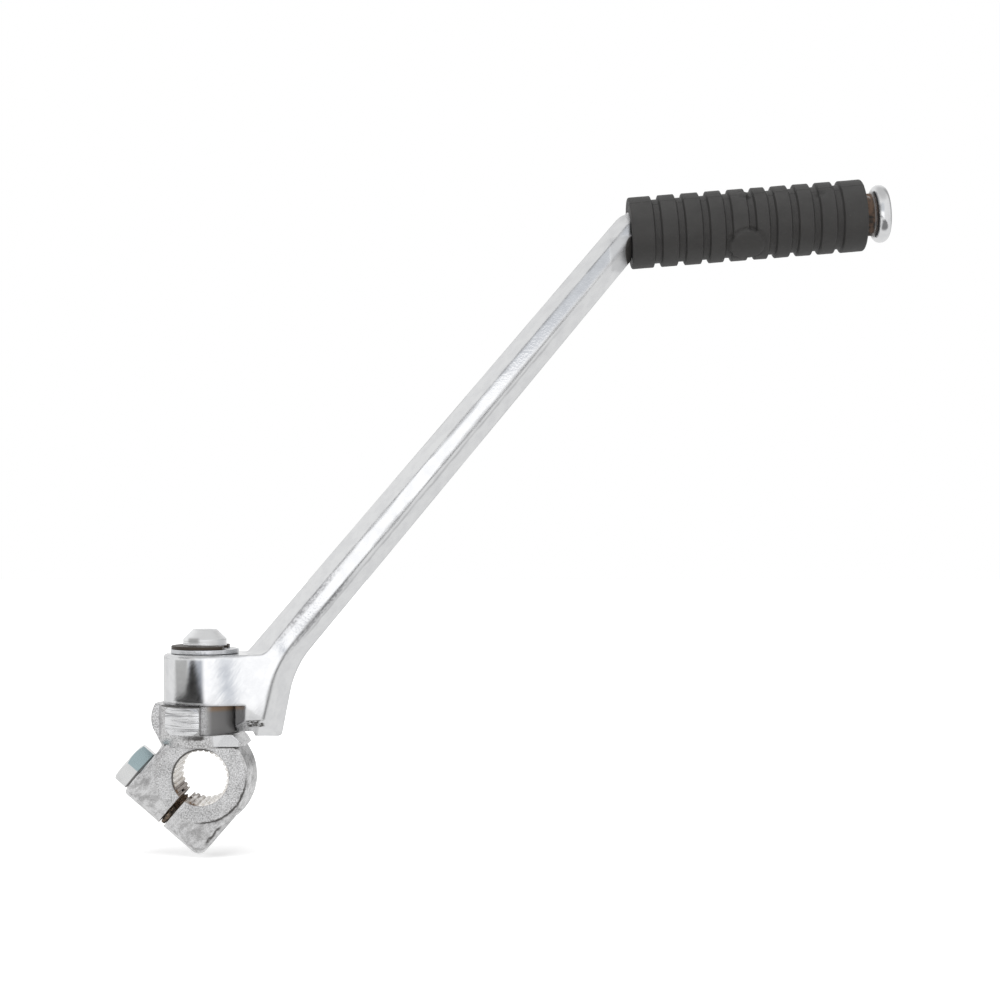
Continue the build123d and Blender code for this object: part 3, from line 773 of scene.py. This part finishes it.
beside_patch = both(
    tree,
    all_but(tree, patch),
    window(tree, x, -4.0, 4.5, 0.8),
    window(tree, z, 13.2, 22.4, 0.4),
)
colour = tint(tree, both(tree, beside_patch, 0.45), colour, SAND_DARK[0])
print("sand from", SAND_DARK[0][0], "to", SAND_LIGHT[1][0])

# %% [markdown]
# The machined areas come next. The patch is scored by the tool, the spigot is bright with one dark mark,
# the relief is painted a dark grey that stands for the dark it mirrors, browner at its top under the
# lever's eye, part stain and part painted shadow, the bore is cream with a rusty stain by the slit, and
# the slit's walls are burnt brown. The relief, the slit and the bore have little plating, so they shine
# less like metal.

# %% Forged chrome: colour of the machined areas
SCORED = (0.34, 0.34, 0.35, 1)
SPIGOT_BRIGHT = (0.95, 0.955, 0.96, 1)
SPIGOT_MARK = (0.16, 0.155, 0.15, 1)
RELIEF_SHADE_AND_STAIN = ((0.19, 0.189, 0.19, 1), (0.24, 0.165, 0.11, 1))
CREAM = ((0.75, 0.69, 0.6, 1), (0.99, 0.97, 0.94, 1))
STAIN = (0.16, 0.1, 0.06, 1)
DARK_LINE_AND_SHADOW = (0.05, 0.045, 0.042, 1)
BURNT = ((0.05, 0.034, 0.024, 1), (0.26, 0.18, 0.12, 1))
BARE_METAL = 0.2
tool_marks = noise(tree, place, 1300.0, 2.0, 0.6, stretch=(30, 30, 1))
colour = tint(tree, both(tree, patch, mask(tree, tool_marks, 0.52, 0.38)), colour, SCORED)
colour = tint(tree, spigot, colour, SPIGOT_BRIGHT)
# painted shade: the relief is a dark grey, browner at its top as stain and painted shadow under the eye
colour = tint(tree, relief, colour, tint(tree, window(tree, z, 20.4, 22.2, 0.7), *RELIEF_SHADE_AND_STAIN))
stain = both(tree, past(tree, along_slit, 6.4, 7.5), mask(tree, lumps, 0.75, 0.4))
cream = tint(tree, mask(tree, lumps, 0.3, 0.55), *CREAM)
colour = tint(tree, bore, colour, tint(tree, stain, cream, STAIN))
# the dark lines and the painted shadows are laid over the colour
colour = tint(tree, both(tree, dark_lines_and_shadows, 0.9), colour, DARK_LINE_AND_SHADOW)
spigot_mark = both(
    tree,
    window(tree, x, -4.3, -0.8, 0.6),
    window(tree, z, 40.9, 42.4, 0.5),
    past(tree, y, -3.0, -4.0),
)
colour = tint(tree, both(tree, spigot_mark, 0.55), colour, SPIGOT_MARK)
tree.links.new(tint(tree, slit, colour, tint(tree, speck, *BURNT)), shader.inputs["Base Color"])
bare = most(tree, relief, slit, both(tree, bore, 0.5))
tree.links.new(blend(tree, bare, 1.0, BARE_METAL), shader.inputs["Metallic"])
print("forged chrome now has", len(tree.nodes), "nodes")

# %% [markdown]
# The skin's relief follows the same masks. Sand and lumps raise the forged part alone, and tool marks cut
# the patch and the spigot. The sheen goes from the broad one of the sand to the tighter one of turned
# metal.

# %% Forged chrome: relief and sheen
JOINT_EDGE_R = 0.5
SAND_DEPTH = 0.12
LUMP_DEPTH = 0.5
TOOL_DEPTH = 0.22
shine = blend(tree, lumps, 0.2, 0.42)
for area, rough in ((smooth_skin, 0.24), (machined, 0.14), (relief, 0.4), (spigot, 0.4), (slit, 0.8)):
    shine = blend(tree, area, shine, rough)
tree.links.new(shine, shader.inputs["Roughness"])
sandy_part = all_but(tree, most(tree, machined, bore, both(tree, smooth_skin, 0.85)))
joint_rounded = put(tree, "Bevel", {"Radius": JOINT_EDGE_R * MM}, samples=4).outputs["Normal"]
sand = bump(tree, both(tree, grain, sandy_part), SAND_DEPTH * MM, 0.8, joint_rounded)
lumpy = bump(tree, both(tree, lumps, sandy_part), LUMP_DEPTH * MM, 0.6, sand)
cut = both(tree, tool_marks, most(tree, patch, spigot))
tree.links.new(bump(tree, cut, TOOL_DEPTH * MM, 1.0, lumpy), shader.inputs["Normal"])
wear(nodes["kick_joint"], forged)

# %% [markdown]
# The rubber is a soft black compound that has greyed a little where hands and boots rub it. Two noises
# mottle it, and its sheen is broad and weak.

# %% Pedal rubber finish
RUBBER = ((0.033, 0.0325, 0.032, 1), (0.05, 0.049, 0.048, 1))
DUSTY = (0.075, 0.074, 0.072, 1)
DUST_DEPTH = 0.04
rubber, tree, shader, place = new_finish("pedal_rubber")
greyed = noise(tree, place, 160.0, 4.0, 0.6)
dust = noise(tree, place, 1500.0, 3.0, 0.7)
colour = tint(tree, mask(tree, dust, 0.62, 0.8), tint(tree, greyed, *RUBBER), DUSTY)
tree.links.new(colour, shader.inputs["Base Color"])
tree.links.new(blend(tree, greyed, 0.65, 0.52), shader.inputs["Roughness"])
shader.inputs["Specular IOR Level"].default_value = 0.35
tree.links.new(bump(tree, dust, DUST_DEPTH * MM, 0.6), shader.inputs["Normal"])
wear(sleeve, rubber)

# %% [markdown]
# The small pieces are plated or blackened steel. Each has its own tint, a little unevenness in its sheen,
# and fine marks, so one function can make them all.


# %% Plated and blackened steel
def plated(name, colour, dull, metal=1.0, scale=900.0, depth=0.02):
    """Plated metal with a fine bump.

    The colour drifts from a fifth darker to a tenth lighter, and the sheen by about a third either way.
    """
    material, tree, shader, place = new_finish(name)
    drift = noise(tree, place, scale / 6, 3.0, 0.6)
    marks = noise(tree, place, scale, 3.0, 0.6)
    dark = tuple(0.78 * c for c in colour) + (1,)
    light = tuple(min(1.0, 1.1 * c) for c in colour) + (1,)
    tree.links.new(tint(tree, drift, dark, light), shader.inputs["Base Color"])
    shader.inputs["Metallic"].default_value = metal
    tree.links.new(blend(tree, marks, 0.7 * dull, 1.35 * dull), shader.inputs["Roughness"])
    tree.links.new(bump(tree, marks, depth * MM, 0.7), shader.inputs["Normal"])
    return material


wear(nodes["thrust_washer"], plated("zinc_washer", (0.66, 0.67, 0.69), 0.24))
wear(nodes["retaining_ring"], plated("black_spring_steel", (0.06, 0.047, 0.037), 0.45, 0.6))
wear(nodes["detent_ball"], plated("ball_steel", (0.7, 0.7, 0.71), 0.08))
wear(spring, plated("spring_steel", (0.36, 0.36, 0.37), 0.35))

# %% [markdown]
# The bolt starts as plated steel too. The upper flat of its head is painted a darker, greenish grey, a
# painted reflection, found by its distance from the bolt's axis along the flat's own direction. A painted
# shadow darkens the lowest part of the head, and where the shank crosses the slit it has rusted.

# %% Zinc bolt
UPPER_FLAT_REFLECTION = (0.42, 0.525, 0.55, 1)
HEAD_SHADOW = (0.06, 0.056, 0.052, 1)
SHANK_RUST = ((0.05, 0.034, 0.024, 1), (0.3, 0.21, 0.14, 1))
zinc = plated("zinc_bolt", (0.86, 0.867, 0.867), 0.26)
tree = zinc.node_tree
shader = tree.nodes["Principled BSDF"]
place = put(tree, "TexCoord").outputs["Object"]
flat_turn = math.radians(HEAD_TURN + 90.0)
flat_out = math.cos(flat_turn) * SLIT_OUT + math.sin(flat_turn) * BOLT_SIDE
from_axis = distance(tree, place, flat_out, BOLT_CENTRE)
along_bolt = distance(tree, place, BOLT_OUT)
# painted reflection on the head's upper flat
upper_flat_reflection = past(tree, from_axis, FLATS / 2 - 0.25, FLATS / 2 - 0.05)
# painted shadow on the lowest part of the head
shadow_under_head = past(tree, along_bolt, SEAT + 0.85, SEAT + 0.5)
in_slit = window(tree, along_bolt, -1.6, 1.6, 0.2)
colour = shader.inputs["Base Color"].links[0].from_socket
colour = tint(tree, upper_flat_reflection, colour, UPPER_FLAT_REFLECTION)
colour = tint(tree, both(tree, shadow_under_head, 0.8), colour, HEAD_SHADOW)
shank_flakes = mask(tree, noise(tree, place, 1400.0, 3.0, 0.6), 0.35, 0.62)
colour = tint(tree, in_slit, colour, tint(tree, shank_flakes, *SHANK_RUST))
tree.links.new(colour, shader.inputs["Base Color"])
tree.links.new(all_but(tree, in_slit), shader.inputs["Metallic"])
wear(bolt, zinc)

# %% [markdown]
# Rust is a powder: it has no metal shine, its colour goes from nearly black to brown in flakes, and it is
# rough at two scales at once.

# %% Rust finish
CRUST = ((0.05, 0.041, 0.033, 1), (0.33, 0.25, 0.18, 1))
CRUST_PALE = (0.5, 0.46, 0.41, 1)
CRUST_DEPTH = 0.35
rust_skin, tree, shader, place = new_finish("slit_rust")
flakes = noise(tree, place, 700.0, 4.0, 0.7)
colour = tint(tree, mask(tree, flakes, 0.36, 0.6), *CRUST)
pale = mask(tree, noise(tree, place, 1900.0, 2.0, 0.6), 0.55, 0.68)
tree.links.new(tint(tree, pale, colour, CRUST_PALE), shader.inputs["Base Color"])
tree.links.new(blend(tree, flakes, 0.95, 0.6), shader.inputs["Roughness"])
tree.links.new(bump(tree, flakes, CRUST_DEPTH * MM, 1.0), shader.inputs["Normal"])
wear(crust, rust_skin)

# %% [markdown]
# The photograph was taken straight from the side, a little above the joint, with a plain white surround.
# The camera looks along +Y. A small shift of its frame puts the part where it is in the picture.

# %% Camera
camera_data = bpy.data.cameras.new("camera")
camera_data.sensor_fit = "HORIZONTAL"
camera_data.sensor_width = 36.0
camera_data.lens = 63.87
camera_data.shift_x = 0.01
camera_data.shift_y = 0.03
camera_data.clip_start = 0.01
camera_data.dof.use_dof = False
camera = bpy.data.objects.new("camera", camera_data)
camera.location = (0.08835, -0.55, 0.07564)
camera.rotation_euler = (math.pi / 2, 0.0, 0.0)
bpy.context.scene.collection.objects.link(camera)
bpy.context.scene.camera = camera
print("camera at", tuple(round(c, 3) for c in camera.location), "m")

# %% [markdown]
# The surround is a white room. The camera sees it as white, and it gives the part an even light. In the
# chrome's mirror the ceiling and a curtain behind are greyer, so that the chrome keeps its form from
# every side.

# %% White room
SEEN_ROOM = 0.9
SEEN_CEILING = 0.62
CURTAIN_SHARE = 0.45
ROOM_LIGHT = 0.45
world = bpy.data.worlds.new("white_room")
world.use_nodes = True
bpy.context.scene.world = world
tree = world.node_tree
rays = put(tree, "LightPath").outputs
background = tree.nodes["Background"]
background.inputs["Color"].default_value = (1, 1, 1, 1)
way = put(tree, "SeparateXYZ", {0: put(tree, "TexCoord").outputs["Generated"]}).outputs
ceiling = blend(tree, mask(tree, way[2], 0.55, 0.95), SEEN_ROOM, SEEN_CEILING)
curtain = both(tree, mask(tree, way[1], 0.1, 0.4), mask(tree, way[0], 0.25, 0.6))
seen = both(tree, ceiling, blend(tree, curtain, 1.0, CURTAIN_SHARE))
level = blend(tree, rays["Is Glossy Ray"], ROOM_LIGHT, seen)
clear = most(tree, rays["Is Camera Ray"], rays["Is Transmission Ray"])
tree.links.new(blend(tree, clear, level, 1.0), background.inputs["Strength"])
print("the room lights the part at", ROOM_LIGHT, "and is mirrored at", SEEN_ROOM)

# %% [markdown]
# The floor is a pale sheet just under the lowest point, so the part throws a soft shadow on it. A glow
# that only the camera sees fades it into the white. In the chrome's mirror it is a little greyer, and
# dark to the right of the front, which draws the thin line along the arm.

# %% Floor
SEEN_FLOOR = 0.84
SEEN_DARK_SPOT = 0.25
FLOOR_HALF = 3.0
FLOOR_GAP = 0.0005
FLOOR_GLOW = (0.5, 1.0)
floor_z = cad_box[0][2] - FLOOR_GAP
signs = [(-1, -1), (1, -1), (1, 1), (-1, 1)]
floor_mesh = bpy.data.meshes.new("floor")
floor_mesh.from_pydata([(i * FLOOR_HALF, j * FLOOR_HALF, floor_z) for i, j in signs], [], [(0, 1, 2, 3)])
floor = bpy.data.objects.new("floor", floor_mesh)
bpy.context.scene.collection.objects.link(floor)

paper, tree, shader, place = new_finish("pale_paper")
shader.inputs["Base Color"].default_value = (0.87, 0.87, 0.87, 1)
shader.inputs["Roughness"].default_value = 0.9
shader.inputs["Specular IOR Level"].default_value = 0.1
rays = put(tree, "LightPath").outputs
x, y, z = put(tree, "SeparateXYZ", {0: place}).outputs
far_off = mask(tree, length(tree, x, y), 0.1, 0.6)
floor_glow = both(tree, rays["Is Camera Ray"], blend(tree, far_off, *FLOOR_GLOW))
glowing = put(tree, "Emission", {"Strength": floor_glow})
lit = put(tree, "AddShader", {0: shader.outputs[0], 1: glowing.outputs[0]})
dark_spot = both(tree, window(tree, x, 90.0, 430.0, 40.0), window(tree, y, -300.0, -45.0, 20.0))
mirrored = put(tree, "Emission", {"Strength": blend(tree, dark_spot, SEEN_FLOOR, SEEN_DARK_SPOT)})
sheet = put(tree, "MixShader", {0: rays["Is Glossy Ray"], 1: lit.outputs[0], 2: mirrored.outputs[0]})
tree.links.new(sheet.outputs[0], tree.nodes["Material Output"].inputs["Surface"])
wear(floor, paper)

# %% [markdown]
# Chrome has no colour of its own. Its form shows only through what it mirrors, so a photographer stands
# cards around it. Here one curved screen stands for all of them. Its shade is a formula of the azimuth,
# in degrees to the right of the front, and of the height, in millimetres.


# %% A painted screen for the chrome to mirror
WHITE_CARD = (1.3, 1.3, 1.31)
WHITE_CARD_HIGH = (0.79, 0.81, 0.85)
WHITE_CARD_TOP = (0.66, 0.68, 0.71)
DIM_CARD = (0.32, 0.32, 0.33)
BLUISH_CARD = (0.5, 0.53, 0.59)
GREY_STRIP = (0.6, 0.635, 0.7)
GREY_CARD = (0.5, 0.5, 0.495)
DARK_HILL = (0.03, 0.029, 0.028)


def between(low, high, soft, value):
    """1 from low to high, falling to 0 over a soft border on both sides."""
    return smooth_step(low - soft, low + soft, value) * (1.0 - smooth_step(high - soft, high + soft, value))


def below(low, high, value):
    """1 below low and 0 above high, with a soft step between them."""
    return 1.0 - smooth_step(low, high, value)


def screen_shade(azimuth, height):
    """Brightness of the screen, as red, green and blue.

    It starts as the room's white, and each card is painted over it. A bright card in front turns to a
    bluish grey above, and a dim one hangs high on the left. Low down stand a bluish card to the left of the
    front, a narrow strip to the right of it, and a grey card farther left. Over them lies a dark shape like
    a hill, whose two sides slope with the height, and whose foot reaches far to the left.
    """
    shade = np.full(azimuth.shape + (3,), SEEN_ROOM)

    def paint(cover, colour):
        shade[:] += cover[..., None] * (np.array(colour) - shade)

    front = between(-16, 30, 5, azimuth)
    paint(front, WHITE_CARD)
    paint(front * smooth_step(146, 170, height), WHITE_CARD_HIGH)
    paint(front * smooth_step(170, 230, height), WHITE_CARD_TOP)
    paint(between(-75, -32, 10, azimuth) * between(170, 420, 40, height), DIM_CARD)
    low = below(6, 16, height)
    paint(low * between(-36, 2, 6, azimuth), BLUISH_CARD)
    paint(low * between(11.6, 12.8, 0.4, azimuth), GREY_STRIP)
    paint(below(9, 22, height) * between(-79, -40, 2.5, azimuth), GREY_CARD)
    left = -33 - 0.95 * (5 - height) - 30 * below(-14, -9, height)
    right = -15 + 0.9 * (5 - height)
    hill = smooth_step(left - 3, left + 3, azimuth) * below(right - 9, right + 9, azimuth)
    paint(hill * below(8, 16, height), DARK_HILL)
    return shade


print("the darkest card is", DARK_HILL, "and the brightest", WHITE_CARD)

# %% [markdown]
# The screen is a part of a cylinder around the joint. It is cut finely, because its shade is stored at
# its points, and finer still low down, where the hill is. Only mirrored rays see it.

# %% The screen itself
SCREEN_R = 430.0
azimuths = np.arange(-112.0, 75.0, 0.3)
heights = np.concatenate([np.arange(-24.0, 30.0, 1.5), np.arange(30.0, 470.0, 10.0)])
AZ, HT = np.meshgrid(azimuths, heights, indexing="ij")
bearing = np.radians(AZ)
screen_points = np.stack([SCREEN_R * np.sin(bearing), -SCREEN_R * np.cos(bearing), HT], axis=-1) * MM
index = np.arange(AZ.size).reshape(AZ.shape)
quads = np.stack([index[:-1, :-1], index[1:, :-1], index[1:, 1:], index[:-1, 1:]], axis=-1)
screen_mesh = bpy.data.meshes.new("screen")
screen_mesh.from_pydata(screen_points.reshape(-1, 3), [], quads.reshape(-1, 4).tolist())
shades = np.concatenate([screen_shade(AZ, HT), np.ones(AZ.shape + (1,))], axis=-1)
screen_mesh.attributes.new("shade", "FLOAT_COLOR", "POINT").data.foreach_set("color", shades.ravel())
screen = bpy.data.objects.new("screen", screen_mesh)
bpy.context.scene.collection.objects.link(screen)
for ray in ("camera", "diffuse", "shadow", "transmission"):
    setattr(screen, "visible_" + ray, False)

painted = bpy.data.materials.new("painted_screen")
painted.use_nodes = True
tree = painted.node_tree
paint_at = put(tree, "Attribute", attribute_name="shade").outputs["Color"]
screen_glow = put(tree, "Emission", {"Color": paint_at})
tree.links.new(screen_glow.outputs[0], tree.nodes["Material Output"].inputs["Surface"])
wear(screen, painted)

# %% [markdown]
# Three soft lamps give the part a side that is lit and a side that is not: a large one above, a weaker
# one in front, and a small warm one below, for the light that a bright table sends back to the pedal. The
# chrome doesn't mirror them, since the screen already stands for what it sees.


# %% Lamps
WARM = (1.0, 0.9, 0.84)
MIDDLE = (0.08, 0.0, 0.08)
PEDAL_MIDDLE = (0.17, 0.0, 0.17)


def soft_lamp(name, place, aim, size, power, colour=(1, 1, 1)):
    """Square area lamp at a place, in metres, turned so that it faces the point that it is aimed at."""
    data = bpy.data.lights.new(name, "AREA")
    data.size = size
    data.energy = power
    data.color = colour
    lamp = bpy.data.objects.new(name, data)
    lamp.location = place
    way = np.array(aim) - np.array(place)
    flat = math.hypot(way[0], way[1])
    lamp.rotation_euler = (math.atan2(flat, -way[2]), 0.0, math.atan2(way[1], way[0]) - math.pi / 2)
    lamp.visible_glossy = False
    bpy.context.scene.collection.objects.link(lamp)
    print(name, "gives", power, "W")


soft_lamp("upper_lamp", (0.0, -0.25, 0.95), MIDDLE, 0.8, 6.5)
soft_lamp("front_lamp", (0.35, -1.1, 0.1), MIDDLE, 0.5, 1.2)
soft_lamp("low_lamp", (0.2, -0.32, 0.0), PEDAL_MIDDLE, 0.15, 0.25, WARM)

# %% [markdown]
# Last, the colours are shown as they are.

# %% Finish
bpy.context.scene.view_settings.view_transform = "Standard"
